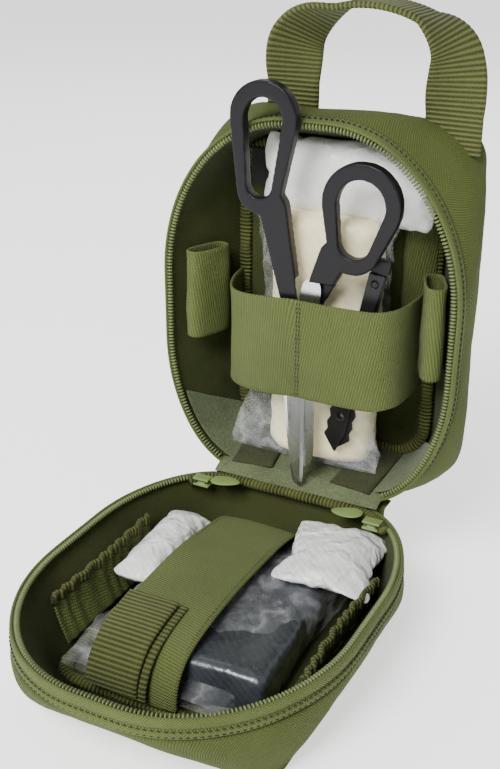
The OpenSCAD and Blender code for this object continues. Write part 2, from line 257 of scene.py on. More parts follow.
# Clear film: an even thin cover of the tint, plus whitish lines along the ridges of a fold noise that paint
# highlights on the film's creases. `creased` sets the strength of that painted highlight.
def filmMaterial(name, tint, clear, creased):
    mat, tree, shader = newMaterial(name, 0.14)
    place = addNode(tree, "ShaderNodeTexCoord").outputs["Object"]
    folds = cloudNoise(tree, place, 55.0, 3.0)
    fine = cloudNoise(tree, place, 190.0, 2.0)
    ridge = sums(tree, "POWER", sums(tree, "SUBTRACT", 1.0, sums(tree, "ABSOLUTE", sums(
        tree, "MULTIPLY_ADD", folds, 4.0, -2.0))), 4.0)
    shader.inputs["Base Color"].default_value = (*tint, 1)
    # The film's own even cover is `clear`; the ridges add the painted highlight on top of it.
    coverWithPaintedHighlight = sums(tree, "MULTIPLY_ADD", sums(tree, "MAXIMUM", ridge, 0.0), creased, clear)
    tree.links.new(coverWithPaintedHighlight, shader.inputs["Alpha"])
    setBump(tree, shader, sums(tree, "MULTIPLY_ADD", fine, 0.04, folds), 0.35, 0.0010)
    return mat


outerCloth = wovenMaterial("outerCloth", (0.020, 0.028, 0.006), (0.098, 0.118, 0.033), 0.0013, 0.0013,
                          rough=0.86, sheen=0.0)
liningCloth = wovenMaterial("liningCloth", (0.012, 0.016, 0.003), (0.056, 0.066, 0.017), 0.0011, 0.0011,
                           rough=0.8)
tapeCloth = wovenMaterial("tapeCloth", (0.028, 0.038, 0.008), (0.120, 0.146, 0.040), 0.0011, 0.0013,
                         rough=0.85)
elasticCloth = wovenMaterial("elasticCloth", (0.034, 0.046, 0.010), (0.146, 0.176, 0.052), 0.0017, 0.0013,
                             twill=0.6, rough=0.9, bump=0.9, relief=0.0006)
ribbedWebbing = wovenMaterial("ribbedWebbing", (0.014, 0.017, 0.004), (0.106, 0.118, 0.036), 0.0016, 0.0021,
                              ribs=0.85, rough=0.85, bump=0.9, relief=0.0007)
bindingCloth = wovenMaterial("bindingCloth", (0.011, 0.014, 0.003), (0.100, 0.110, 0.028), 0.0012, 0.0019,
                             ribs=0.9, rough=0.85, bump=0.9, relief=0.0006)
loopCloth = fuzzyMaterial("loopCloth", (0.040, 0.052, 0.022), (0.150, 0.180, 0.090), 900.0, 0.0006, sheen=0.1)
hookWebbing = fuzzyMaterial("hookWebbing", (0.010, 0.012, 0.005), (0.075, 0.082, 0.032), 1300.0, 0.0009,
                            sheen=0.05)
coilPlastic = mouldedMaterial("coilPlastic", (0.105, 0.130, 0.045), 0.38, 1200.0)
pullPaint = mouldedMaterial("pullPaint", (0.150, 0.215, 0.060), 0.45, 1400.0, wear=0.12)
handlePlastic = mouldedMaterial("handlePlastic", (0.006, 0.0057, 0.007), 0.34, 1500.0, wear=0.3, shine=0.2)
bladeSteel = steelMaterial("bladeSteel", (0.72, 0.72, 0.71), 0.24, (1.0, 1.0, 0.05))
toolSteel = mouldedMaterial("toolSteel", (0.022, 0.021, 0.021), 0.34, 700.0, metallic=0.6, wear=0.5,
                           shine=0.3)
snapPaint = mouldedMaterial("snapPaint", (0.03, 0.032, 0.03), 0.3, 900.0, metallic=0.7, wear=0.4)
labelCloth = wovenMaterial("labelCloth", (0.006, 0.006, 0.006), (0.035, 0.035, 0.035), 0.0006, 0.0006,
                          rough=0.7)
whitePacket = packetMaterial("whitePacket", (0.50, 0.50, 0.49), (0.95, 0.95, 0.93))
frostedPacket = packetMaterial("frostedPacket", (0.58, 0.57, 0.55), (0.98, 0.97, 0.95), 0.45, 0.5,
                               threadShow=0.06)
creamGauze = packetMaterial("creamGauze", (0.90, 0.76, 0.42), (1.0, 0.95, 0.64), 0.8, 0.15, 0.0016)
blackWrap = packetMaterial("blackWrap", (0.012, 0.014, 0.017), (0.050, 0.056, 0.066), 0.28, 0.3)
clearFilm = filmMaterial("clearFilm", (0.90, 0.92, 0.95), 0.03, 0.13)
stitchThread = mouldedMaterial("stitchThread", (0.080, 0.095, 0.030), 0.6, 1800.0)
darkThread = mouldedMaterial("darkThread", (0.009, 0.011, 0.004), 0.8, 1800.0)
print("materials are ready")

# Shaping helpers


def layDown(points):  # across, away from the hinge, into the depth -> the front half, lying on the ground
    p = np.asarray(points, float)
    return np.stack([p[..., 0], hinge[1] - p[..., 1], hinge[2] - p[..., 2]], -1)


def standUp(points):  # the same for the back half, standing up
    p = np.asarray(points, float)
    return np.stack([p[..., 0], hinge[1] + p[..., 2], hinge[2] + p[..., 1]], -1)


upright = (0, 0, 1.0)


def unit(v):
    v = np.asarray(v, float)
    return v / np.maximum(np.linalg.norm(v, axis=-1, keepdims=True), 1e-12)


def wander(points, size, seed=0.0):
    flat = np.asarray(points, float).reshape(-1, 3) / size + seed
    values = np.array([noise.noise(Vector(p)) for p in flat])
    return values.reshape(np.asarray(points).shape[:-1])


def creased(points, size, seed=0.0):  # sharp folds between soft hollows
    return 1 - 2 * np.abs(wander(points, size, seed))


def smoothPath(points, step, closed=False):
    p = np.asarray(points, float)
    count = len(p)
    dense = []
    for i in range(count if closed else count - 1):
        if closed:
            a, b, c, d = (p[(i + k) % count] for k in (-1, 0, 1, 2))
        else:
            a, b, c, d = (p[min(max(i + k, 0), count - 1)] for k in (-1, 0, 1, 2))
        for t in np.linspace(0, 1, 12, endpoint=False):
            dense.append(0.5 * (2 * b + (c - a) * t + (2 * a - 5 * b + 4 * c - d) * t * t
                                + (3 * b - a - 3 * c + d) * t ** 3))
    dense.append(p[0] if closed else p[-1])
    dense = np.array(dense)
    run = np.concatenate([[0], np.cumsum(np.linalg.norm(np.diff(dense, axis=0), axis=1))])
    places = np.linspace(0, run[-1], max(3, int(round(run[-1] / step)) + 1))
    even = np.stack([np.interp(places, run, dense[:, k]) for k in range(3)], -1)
    return even[:-1] if closed else even


def shadeSmooth(mesh):
    for polygon in mesh.polygons:
        polygon.use_smooth = True


def editMesh(mesh, change):
    work = bmesh.new()
    work.from_mesh(mesh)
    change(work)
    work.to_mesh(mesh)
    work.free()


def addPiece(name, mesh, material=None):
    piece = bpy.data.objects.new(name, mesh)
    bpy.context.collection.objects.link(piece)
    if material is not None:
        mesh.materials.clear()
        mesh.materials.append(material)
    shadeSmooth(mesh)
    return piece


def weaveMap(across, along):
    return np.stack(np.meshgrid(across, along), -1)


# A mesh from rows of points. The map has one more column than the points where a row closes on itself,
# and one more row where the rows close on themselves.
def gridPiece(name, points, weave, material, closedRow=False, closedLoop=False, capped=False, outwards=True):
    rows, cols = points.shape[:2]
    faces, maps = [], []
    for r in range(rows if closedLoop else rows - 1):
        for c in range(cols if closedRow else cols - 1):
            r2, c2 = (r + 1) % rows, (c + 1) % cols
            faces.append((r * cols + c, r * cols + c2, r2 * cols + c2, r2 * cols + c))
            maps += [weave[r, c], weave[r, c + 1], weave[r + 1, c + 1], weave[r + 1, c]]
    if capped:
        for r in (0, rows - 1):
            faces.append(tuple(r * cols + c for c in range(cols)))
            maps += [weave[r, c] for c in range(cols)]
    mesh = bpy.data.meshes.new(name)
    mesh.from_pydata(points.reshape(-1, 3).tolist(), [], faces)
    layer = mesh.uv_layers.new(name="weave")
    layer.data.foreach_set("uv", np.array(maps, np.float32).ravel())
    if outwards:
        turnOutwards(mesh)
    mesh.update()
    return addPiece(name, mesh, material)


def turnOutwards(mesh):
    editMesh(mesh, lambda work: bmesh.ops.recalc_face_normals(work, faces=work.faces))


def flatSection(width, thick, cells):
    a = np.linspace(-width / 2, width / 2, cells + 1)
    top = np.stack([a, np.full_like(a, thick / 2)], -1)
    low = np.stack([a[::-1], np.full_like(a, -thick / 2)], -1)
    edge = width / 2 + thick * 0.3
    return np.concatenate([top, [[edge, 0]], low, [[-edge, 0]]])


# A strap along a path. The width runs along `side`; ribs cross it, and `crown` bows it between its edges.
def strapPiece(name, path, side, width, thick, material, cells=10, ribs=None, crown=0.0, closed=False,
               waves=(0.0, 0.02), seed=1.0, edgeRoll=0.0):
    path = np.asarray(path, float)
    side = unit(np.broadcast_to(side, path.shape))
    if closed:
        tangent = unit(np.roll(path, -1, 0) - np.roll(path, 1, 0))
    else:
        tangent = unit(np.gradient(path, axis=0))
    side = unit(side - tangent * (side * tangent).sum(-1, keepdims=True))
    normal = unit(np.cross(tangent, side))
    steps = np.linalg.norm(np.diff(path, axis=0, append=path[:1]), axis=1)
    run = np.concatenate([[0], np.cumsum(steps)])
    section = flatSection(width, thick, cells)
    across, high = section[:, 0], section[:, 1]
    rows = []
    for i in range(len(path)):
        lift = high + crown * (1 - (2 * across / width) ** 2) - edgeRoll * np.abs(2 * across / width) ** 6
        if ribs:
            lift = lift + np.sign(high) * ribs[1] * (0.5 + 0.5 * math.cos(math.tau * run[i] / ribs[0]))
        rows.append(path[i] + across[:, None] * side[i] + lift[:, None] * normal[i])
    points = np.array(rows)
    if waves[0]:
        points = points + normal[:, None, :] * (waves[0] * wander(points, waves[1], seed))[..., None]
    along = run if closed else run[:len(path)]
    acrossMap = np.append(across, across[0])
    weave = weaveMap(acrossMap, along)
    return gridPiece(name, points, weave, material, closedRow=True, closedLoop=closed, capped=not closed)


# What repeats along a line: zipper teeth and stitches


def beadTree():
    tree = bpy.data.node_groups.new("beadsAlongLine", "GeometryNodeTree")
    for name, kind in (("Line", "Geometry"), ("Spacing", "Float"), ("Size", "Vector"), ("Up", "Vector"),
                       ("Finish", "Material"), ("Beads", "Geometry")):
        way = "OUTPUT" if name == "Beads" else "INPUT"
        tree.interface.new_socket(name=name, in_out=way, socket_type="NodeSocket" + kind)
    given = tree.nodes.new("NodeGroupInput").outputs
    curve = addNode(tree, "GeometryNodeMeshToCurve", {0: given["Line"]})
    even = addNode(tree, "GeometryNodeResampleCurve", {"Curve": curve.outputs[0], "Length": given["Spacing"]},
                   mode="LENGTH")
    tangent = tree.nodes.new("GeometryNodeInputTangent").outputs[0]
    along = addNode(tree, "FunctionNodeAlignRotationToVector", {"Vector": tangent}, axis="X")
    level = addNode(tree, "FunctionNodeAlignRotationToVector",
                    {"Rotation": along.outputs[0], "Vector": given["Up"]}, axis="Z", pivot_axis="X")
    ball = addNode(tree, "GeometryNodeMeshUVSphere", {"Segments": 8, "Rings": 5, "Radius": 0.5})
    placed = addNode(tree, "GeometryNodeInstanceOnPoints",
                     {"Points": even.outputs[0], "Instance": ball.outputs[0], "Rotation": level.outputs[0],
                      "Scale": given["Size"]})
    real = addNode(tree, "GeometryNodeRealizeInstances", {0: placed.outputs[0]})
    smooth = addNode(tree, "GeometryNodeSetShadeSmooth", {0: real.outputs[0]})
    finished = addNode(tree, "GeometryNodeSetMaterial",
                       {"Geometry": smooth.outputs[0], "Material": given["Finish"]})
    tree.links.new(finished.outputs[0], tree.nodes.new("NodeGroupOutput").inputs[0])
    return tree


beads = beadTree()


def beadRow(name, lines, spacing, size, up, material, closed=False):
    verts, edges = [], []
    for line in lines:
        first = len(verts)
        verts += [tuple(p) for p in np.asarray(line, float)]
        edges += [(first + i, first + i + 1) for i in range(len(line) - 1)]
        if closed:
            edges.append((len(verts) - 1, first))
    mesh = bpy.data.meshes.new(name + "Line")
    mesh.from_pydata(verts, edges, [])
    carrier = bpy.data.objects.new(name + "Line", mesh)
    bpy.context.collection.objects.link(carrier)
    modifier = carrier.modifiers.new("beads", "NODES")
    modifier.node_group = beads
    given = dict(Spacing=spacing, Size=size, Up=up, Finish=material)
    for item in beads.interface.items_tree:
        if item.name in given:
            modifier[item.identifier] = given[item.name]
    graph = bpy.context.evaluated_depsgraph_get()
    made = bpy.data.meshes.new_from_object(carrier.evaluated_get(graph))
    bpy.data.objects.remove(carrier)
    made.name = name
    turnOutwards(made)
    return addPiece(name, made)


def settle(piece, body, slot, *nodes):
    if nodes:
        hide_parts(*nodes)
    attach(piece, body)
    return piece


def addThickness(piece, thick, offset=-1.0, levels=0):
    solid = piece.modifiers.new("thickness", "SOLIDIFY")
    solid.thickness, solid.offset = thick, offset
    solid.use_even_offset = False
    if levels:
        subdivide(piece, levels)


def subdivide(piece, levels):
    smooth = piece.modifiers.new("smooth", "SUBSURF")
    smooth.levels = smooth.render_levels = levels


# The two halves
pouch = dict(width=0.150, height=0.182, topCorner=(0.066, 0.080), lowCorner=(0.043, 0.070), band=0.0104,
             liningStart=0.004, teethMiddle=0.0027)
frontHalf = dict(name="front", body="front_half", place=layDown, depth=0.042, bulge=0.0022,
                 panel=(0.061, 0.006, 0.152, 0.013, 0.0), seam=(0.053, 0.012, 0.143, 0.014, 0.0), seed=3.1,
                 opensTo=(0, 0, 1.0))
backHalf = dict(name="back", body="back_half", place=standUp, depth=0.046, bulge=0.0028,
                panel=(0.064, 0.001, 0.178, 0.016, 0.005), seam=(0.054, 0.0085, 0.165, 0.018, 0.001),
                seed=8.7, opensTo=(0, -1.0, 0))
perCorner, perSide = 44, 16


def onCorner(corner, turn):  # a point of an elliptic corner
    cx, cy, rx, ry = corner[:4]
    return np.array([cx + rx * math.cos(turn), cy + ry * math.sin(turn)])


def roundedOutline(halfWidth, low, high, topCorner, lowCorner):
    (ta, tb), (ba, bb) = topCorner, lowCorner
    corners = [(halfWidth - ta, high - tb, ta, tb, 0), (-halfWidth + ta, high - tb, ta, tb, 90),
               (-halfWidth + ba, low + bb, ba, bb, 180), (halfWidth - ba, low + bb, ba, bb, 270)]
    points = []
    for k, corner in enumerate(corners):
        start, following = corner[4], corners[(k + 1) % 4]
        points += [onCorner(corner, turn) for turn in np.radians(start + 90 * np.linspace(0, 1, perCorner))]
        sideStart = onCorner(corner, math.radians(start + 90))
        sideEnd = onCorner(following, math.radians(following[4]))
        points += [(1 - t) * sideStart + t * sideEnd for t in np.linspace(0, 1, perSide + 2)[1:-1]]
    return np.array(points)


def atDepth(outline, depth):
    return np.concatenate([outline, np.full((len(outline), 1), depth)], 1)


def rimOutline(inset=0.0):
    (ta, tb), (ba, bb) = pouch["topCorner"], pouch["lowCorner"]
    return roundedOutline(pouch["width"] / 2 - inset, inset, pouch["height"] - inset,
                          (ta - inset, tb - inset), (ba - inset, bb - inset))


def boxOutline(box, inset=0.0):
    halfWidth, low, high, corner, shift = box
    r = max(corner - inset / 2, 0.003)
    return roundedOutline(halfWidth - inset, low + inset, high - inset, (r, r), (r, r)) + np.array([shift, 0])


def outlineNormals(outline):
    tangent = unit(np.roll(outline, -1, 0) - np.roll(outline, 1, 0))
    return np.stack([tangent[:, 1], -tangent[:, 0]], -1)


def runAlong(outline):
    steps = np.linalg.norm(np.diff(outline, axis=0, append=outline[:1]), axis=1)
    return np.concatenate([[0], np.cumsum(steps)])


# Rings from a list of (depth, share of the way from the first outline to the second, push outwards)
def wallRings(first, second, rows):
    rings = []
    for depth, share, push in rows:
        outline = first * (1 - share) + second * share
        outline = outline + outlineNormals(outline) * push
        rings.append(atDepth(outline, depth))
    return np.array(rings)


def panelRings(outline, depth, steps):
    middle = outline.mean(0)
    return np.array([atDepth(middle + (outline - middle) * s, depth) for s in steps])


def wallWeave(rim, rings):
    down = np.cumsum([0] + list(np.linalg.norm(np.diff(rings, axis=0), axis=2).mean(1)))
    return weaveMap(runAlong(rim), down)


def shellPiece(half):
    rim, panel = rimOutline(), boxOutline(half["panel"])
    band, depth = pouch["band"], half["depth"]
    rows = [(band - 0.0002, 0.0, -0.0010), (band + 0.0002, 0.004, -0.0002)]
    for s in np.linspace(0.02, 1, 30):
        swell = half["bulge"] * math.sin(math.pi * s) ** 0.8
        rows.append((band + s * (depth - band - 0.0024), s * 0.97, swell))
    rows += [(depth - 0.0012, 0.985, 0.0001), (depth - 0.0003, 0.995, -0.0002), (depth, 1.0, -0.0016)]
    wall = wallRings(rim, panel, rows)
    inside = panelRings(boxOutline(half["panel"], 0.003), depth, np.linspace(0.97, 0.02, 18))
    rings = np.concatenate([wall, inside])
    flex = wander(rings, 0.030, half["seed"]) * 0.0011 + creased(rings, 0.011, half["seed"]) * 0.00022
    fade = np.ones(len(rings))
    fade[:3] = [0.1, 0.2, 0.5]
    fade[len(wall) - 3:] = 0.12
    normals = atDepth(outlineNormals(rim), 0.0)
    rings = rings + normals[None] * (flex * fade[:, None])[..., None]
    weave = wallWeave(rim, rings)
    flat = np.concatenate([rings, rings[:, :1]], 1)[..., :2]
    weave[len(wall):] = flat[len(wall):]
    piece = gridPiece(half["name"] + "Shell", half["place"](rings), weave, outerCloth, closedRow=True)
    return finishBowl(piece, half, 0.0019)


def closeCentre(piece, count):  # the last ring of a panel is closed with one face
    def change(work):
        work.verts.ensure_lookup_table()
        work.faces.new([work.verts[i] for i in range(len(work.verts) - count, len(work.verts))])

    editMesh(piece.data, change)
    shadeSmooth(piece.data)


def faceAway(piece, half, inwards=False):  # an open bowl: its faces look away from the half's own middle
    middle = Vector(half["place"](np.array([0, pouch["height"] / 2, half["depth"] * 0.35])))

    def change(work):
        bmesh.ops.recalc_face_normals(work, faces=work.faces)
        away = sum((f.calc_center_median() - middle).dot(f.normal) > 0 for f in work.faces)
        if (2 * away < len(work.faces)) != inwards:
            bmesh.ops.reverse_faces(work, faces=work.faces)

    editMesh(piece.data, change)


def finishBowl(piece, half, thick, inwards=False):
    closeCentre(piece, 4 * (perCorner + perSide))
    faceAway(piece, half, inwards)
    addThickness(piece, thick)
    return piece


def liningPiece(half):
    rim, seam = rimOutline(0.0017), boxOutline(half["seam"])
    start, end = pouch["liningStart"], half["depth"] - 0.0044
    rows = [(start + s * (end - start), s, -0.0006 * math.sin(math.pi * s)) for s in np.linspace(0, 1, 26)]
    wall = wallRings(rim, seam, rows)
    inside = panelRings(boxOutline(half["seam"], 0.001), end, np.linspace(0.98, 0.03, 16))
    rings = np.concatenate([wall, inside])
    flex = wander(rings, 0.024, half["seed"] + 5) * 0.0008 + creased(rings, 0.009, half["seed"] + 5) * 0.0002
    flex[:2] *= 0.2
    flex[24:] *= 0.0
    normals = atDepth(outlineNormals(rim), 0.0)
    rings = rings - normals[None] * (np.abs(flex))[..., None]
    weave = wallWeave(rim, rings)
    piece = gridPiece(half["name"] + "Lining", half["place"](rings), weave, liningCloth, closedRow=True)
    return finishBowl(piece, half, 0.0008, inwards=True)


def panelPiece(half):
    outline = boxOutline(half["seam"], 0.0012)
    depth = half["depth"] - 0.0044 - 0.0016
    rings = panelRings(outline, depth, np.linspace(1, 0.02, 34))
    fade = (1 - np.linspace(1, 0, 34) ** 4)[:, None]
    rings[..., 2] -= np.abs(wander(rings, 0.022, half["seed"] + 9)) * 0.0010 * fade
    weave = np.concatenate([rings, rings[:, :1]], 1)[..., :2]
    piece = gridPiece(half["name"] + "Panel", half["place"](rings), weave, liningCloth, closedRow=True)
    return finishBowl(piece, half, 0.0007, inwards=True)


# The zipper's tape and its welt: a rolled upper edge, a sharp crease, and a flat welt under it
tapeProfile = [(-0.0014, 0.0009), (-0.0004, 0.0004), (0.0002, 0.0010), (0.0004, 0.0024), (0.0003, 0.0044),
               (-0.0002, 0.0056), (-0.0009, 0.0062), (0.0000, 0.0066), (0.0006, 0.0074), (0.0006, 0.0090),
               (0.0001, 0.0100), (-0.0006, 0.0106), (-0.0014, 0.0100), (-0.0014, 0.0060), (-0.0015, 0.0030)]


def tapePiece(half):
    rim = rimOutline()
    out = outlineNormals(rim)
    run = runAlong(rim)
    points = np.array([[np.append(rim[i] + out[i] * push, depth) for push, depth in tapeProfile]
                       for i in range(len(rim))])
    lift = wander(points, 0.035, half["seed"] + 2) * 0.0004
    points[..., :2] += out[:, None, :] * lift[..., None]
    down = np.append([d for _, d in tapeProfile], tapeProfile[0][1])
    weave = weaveMap(down, run)
    piece = gridPiece(half["name"] + "ZipperTape", half["place"](points), weave, tapeCloth,
                      closedRow=True, closedLoop=True)
    subdivide(piece, 1)
    return piece


def withoutHinge(outline, halfGap):  # the outline as an open line that leaves out the stretch along the hinge
    low = (outline[:, 1] < 0.05) & (np.abs(outline[:, 0]) < halfGap)
    first = int(np.argmax(np.roll(low, 1) & ~low))
    turned = np.roll(outline, -first, 0)
    keep = np.roll(~low, -first)
    return turned[keep]


def zipperTeeth(half):
    line = withoutHinge(rimOutline(pouch["teethMiddle"]), 0.044)
    line = half["place"](atDepth(line, 0.0018))
    return beadRow(half["name"] + "ZipperTeeth", [line], 0.00165, (0.00125, 0.0033, 0.0027), half["opensTo"],
                   coilPlastic)


def rimStitches(half, depths, push):
    rim = rimOutline()
    out = outlineNormals(rim)
    lines = [half["place"](atDepth(rim + out * push, depth)) for depth in depths]
    return beadRow(half["name"] + "RimStitches", lines, 0.0027, (0.0016, 0.0007, 0.0006), half["opensTo"],
                   darkThread, closed=True)


# The ribbed edging of the inner panel
binding = dict(wide=0.0031, high=0.0017, lift=0.0072, rib=0.0021, swell=0.14)


def bindingPiece(half):
    outline = boxOutline(half["seam"], 0.0036)
    line = smoothPath(atDepth(outline, half["depth"] - binding["lift"]), 0.0005, True)
    out = atDepth(outlineNormals(line[:, :2]), 0.0)
    wide, high = binding["wide"], binding["high"]
    section = [(wide * math.cos(a), high * math.sin(a)) for a in np.linspace(0, math.tau, 13)[:-1]]
    run = runAlong(line)
    rows = []
    for i in range(len(line)):
        swell = 1 + binding["swell"] * math.cos(math.tau * run[i] / binding["rib"])
        rows.append([line[i] + out[i] * a * swell + np.array([0, 0, b * swell]) for a, b in section])
    around = np.linspace(0, 0.014, 14)[:13]
    weave = weaveMap(around, run)
    return gridPiece(half["name"] + "Binding", half["place"](np.array(rows)), weave, bindingCloth,
                     closedRow=True, closedLoop=True)


for half in (frontHalf, backHalf):
    name, body = half["name"], half["body"]
    shell = shellPiece(half)
    settle(shell, body, "outer_fabric", name + "_shell", name + "_padding")
    lining = liningPiece(half)
    settle(lining, body, "lining_fabric", name + "_lining")
    panel = panelPiece(half)
    settle(panel, body, "lining_fabric", name + "_panel")
    settle(tapePiece(half), body, "zipper_tape", name + "_zipper_tape")
    settle(zipperTeeth(half), body, "zipper_coil", name + "_zipper_teeth")
    settle(rimStitches(half, (0.0062, 0.0088), 0.0005), body, "zipper_tape")
    settle(bindingPiece(half), body, "binding_tape", name + "_binding")
    print("the", name, "half is made")

# Straps, tabs and pockets of the front half


def railPath(line, x, place, step=0.002):  # a line of (distance from the hinge, depth) at one place across
    return place(smoothPath([(x, v * mm, d * mm) for v, d in line], step))


frontStrap = dict(x=-0.008, width=0.040, thick=0.0013,
                  line=[(15, 33), (18, 21), (25, 11.4), (40, 7.4), (60, 5.6), (80, 5), (100, 5.8),
                        (118, 7.8), (130, 11.4), (137, 17), (140.5, 24), (141.5, 32)])
pullTab = dict(width=0.024, thick=0.0013, rib=(0.0021, 0.00022),
               line=[(108, 6.6), (120, 8.4), (131, 11.6), (138.5, 17.4), (142.4, 24), (143.4, 30)])


def makeFrontStrap():
    path = railPath(frontStrap["line"], frontStrap["x"], layDown, 0.0012)
    strap = strapPiece("frontStrap", path, (1, 0, 0), frontStrap["width"], frontStrap["thick"], elasticCloth,
                       cells=20, crown=0.0006, waves=(0.0007, 0.026), seed=4.2, edgeRoll=0.0004)
    settle(strap, "front_half", "elastic_webbing", "front_strap")
    raised = [(v, d - 0.8) for v, d in frontStrap["line"][2:-2]]
    inset = frontStrap["width"] / 2 - 0.0018
    edges = [railPath(raised, frontStrap["x"] + x, layDown) for x in (-inset, inset)]
    settle(beadRow("frontStrapSelvage", edges, 0.0024, (0.0017, 0.0005, 0.0005), (0, 0, 1), stitchThread),
           "front_half", "elastic_webbing")


def makePullTab(name, node, x, lift, short, seed):
    line = [(v + lift * 0.9 + short, d - lift) for v, d in pullTab["line"]]
    tab = strapPiece(name, railPath(line, x, layDown, 0.0005), (1, 0, 0), pullTab["width"], pullTab["thick"],
                     ribbedWebbing, cells=10, ribs=pullTab["rib"], waves=(0.0004, 0.02), seed=seed)
    settle(tab, "front_half", "load_webbing", node)


# A gathered pocket of elastic with a ribbed hem, sewn along its foot on a side wall. The bulge is a list of
# (share of the way up, push outwards).
wallPocket = dict(start=0.044, end=0.124, foot=(0.0530, 0.0325), top=(0.0606, 0.0115), pitch=0.0085,
                  pucker=0.0008, bow=0.0016,
                  bulge=((0.0, 0.0), (0.12, 0.0003), (0.3, 0.0006), (0.5, 0.0009), (0.72, 0.0008),
                         (0.9, 0.0004), (1.0, 0.0)))


def makeWallPocket(name, node, side):
    vs = np.linspace(wallPocket["start"], wallPocket["end"], 90)
    (footX, footD), (topX, topD) = wallPocket["foot"], wallPocket["top"]
    rows = []
    for share, push in wallPocket["bulge"]:
        x = footX + (topX - footX) * share
        d = footD - (footD - topD) * share
        wave = np.sin(vs * math.tau / wallPocket["pitch"] + 1.7 * np.sin(vs * 160))
        pucker = (0.4 + share) * wallPocket["pucker"] * wave
        bow = wallPocket["bow"] * np.sin(math.pi * (vs - vs[0]) / (vs[-1] - vs[0])) * share
        rows.append(np.stack([side * (x + push - bow + pucker * 0.6), vs, d - 0.4 * bow + 0 * vs], -1))
    points = layDown(np.array(rows))
    weave = weaveMap(vs, np.linspace(0, 0.023, 7))
    cloth = gridPiece(name, points, weave, elasticCloth, outwards=False)
    addThickness(cloth, 0.0010, 0.0, 1)
    settle(cloth, "front_half", "elastic_webbing", node)
    hemLine = smoothPath(rows[-1], 0.0006)
    hem = strapPiece(name + "Hem", layDown(hemLine), upright, 0.0042, 0.0022, bindingCloth,
                     cells=4, ribs=(0.0019, 0.00022))
    settle(hem, "front_half", "binding_tape")


makeFrontStrap()
makePullTab("pullTabUpper", "pull_tab_upper", -0.0155, 3.7, 0.0, 2.0)
makePullTab("pullTabLower", "pull_tab_lower", -0.0120, 1.75, 0.4, 5.0)
makeWallPocket("frontPocketLeft", "front_pocket_left", -1)
makeWallPocket("frontPocketRight", "front_pocket_right", 1)
print("the front straps and pockets are made")

# The hinge, the floor between the halves and the zipper's ends


hingeCloth = dict(gap=0.0012, width=0.092, thick=0.0010)


def makeFabricHinge():
    gap = hingeCloth["gap"]
    # (height over the hinge line, distance behind it), from the front wall round the corner
    corner = ((-0.0125, gap), (-0.008, gap), (-0.003, gap), (-0.0012, 0.0022), (-gap, 0.006), (-gap, 0.0105))
    path = smoothPath([(0, hinge[1] + y, hinge[2] + z) for z, y in corner], 0.0009)
    cloth = strapPiece("fabricHinge", path, (1, 0, 0), hingeCloth["width"], hingeCloth["thick"], outerCloth,
                       cells=46)
    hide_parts("fabric_hinge")
    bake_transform(cloth)


floorStart, floorReach = (0.0034, 0.004), 0.0376
floorRise = math.atan2(0.0085 - 0.0017, floorReach)


def floorPoint(x, d, lift):
    return (x, floorStart[0] + lift + d * math.sin(floorRise), floorStart[1] + d * math.cos(floorRise))


def makeFloor():
    rim, seam = rimOutline(0.0017), boxOutline(backHalf["seam"])
    columns = np.arange(2 * perCorner + 2 * perSide + 14, 4 * perCorner + 3 * perSide - 14)
    rows = []
    for s in np.linspace(0.02, 0.98, 22):
        outline = rim * (1 - s) + seam * s
        inner = outline - outlineNormals(outline) * 0.0013
        rows.append(atDepth(inner[columns], floorStart[1] + s * floorReach))
    points = np.array(rows)
    points[..., 1] += 0.0005 + 0.0006 * wander(points, 0.02, 6.0)
    weave = points[..., [0, 2]]
    cloth = gridPiece("floorGusset", standUp(points), weave, loopCloth, outwards=False)
    addThickness(cloth, 0.0008, 0.0, 1)
    settle(cloth, "back_half", "loop_fabric", "floor_gusset")
    for name, x, fan in (("gussetStrapLeft", -0.027, -0.004), ("gussetStrapRight", 0.027, 0.004)):
        path = standUp([floorPoint(x + fan * d / 0.036, d, 0.0016) for d in np.linspace(-0.001, 0.0355, 40)])
        strap = strapPiece(name, path, (1, 0, 0), 0.021, 0.0016, hookWebbing, cells=12, waves=(0.0004, 0.006),
                           seed=x)
        settle(strap, "back_half", "load_webbing", "gusset_strap_left" if x < 0 else "gusset_strap_right")


# The floor's cloth runs on over the hinge to the front half
def makeHingeFlap():
    line = [(0, hinge[1] + y, hinge[2] + z) for y, z in ((0.0048, 0.0045), (0.001, 0.0034), (-0.0022, 0.0022),
                                                         (-0.0048, 0.0009))]
    flap = strapPiece("hingeFlap", smoothPath(line, 0.0008), (1, 0, 0), 0.088, 0.0008, loopCloth, cells=60,
                      waves=(0.0006, 0.012), seed=14.0)
    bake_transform(flap)


# A ribbed roll of binding closes the front half along the hinge
hingeRoll = dict(wide=0.0030, high=0.0024, rib=0.0021, swell=0.13, step=0.0005)


def makeHingeRoll():
    ends = rimOutline(0.0052)
    low = ends[(ends[:, 1] < 0.017)]
    low = low[np.argsort(low[:, 0])]
    step = hingeRoll["step"]
    line = smoothPath(np.concatenate([low, (0.0012 + 0.10 * np.abs(low[:, 0:1]) ** 1.6)], 1), step)
    tangent = unit(np.gradient(line, axis=0))
    turn = np.linspace(0, math.tau, 15)[:-1, None]
    rows = []
    for i in range(len(line)):
        sideways = unit(np.cross(tangent[i], (0, 0, 1)))
        swell = 1 + hingeRoll["swell"] * math.cos(math.tau * i * step / hingeRoll["rib"])
        wide, high = hingeRoll["wide"] * swell, hingeRoll["high"] * swell
        rows.append(line[i] + sideways * wide * np.cos(turn) + np.array([0, 0, 1.0]) * high * np.sin(turn))
    points = layDown(np.array(rows))
    weave = weaveMap(np.linspace(0, 0.017, 15), np.arange(len(line)) * step)
    roll = gridPiece("hingeRoll", points, weave, bindingCloth, closedRow=True, capped=True)
    settle(roll, "front_half", "binding_tape")


def bakeModifiers(piece):
    graph = bpy.context.evaluated_depsgraph_get()
    made = bpy.data.meshes.new_from_object(piece.evaluated_get(graph))
    piece.modifiers.clear()
    old, piece.data = piece.data, made
    bpy.data.meshes.remove(old)
    shadeSmooth(made)


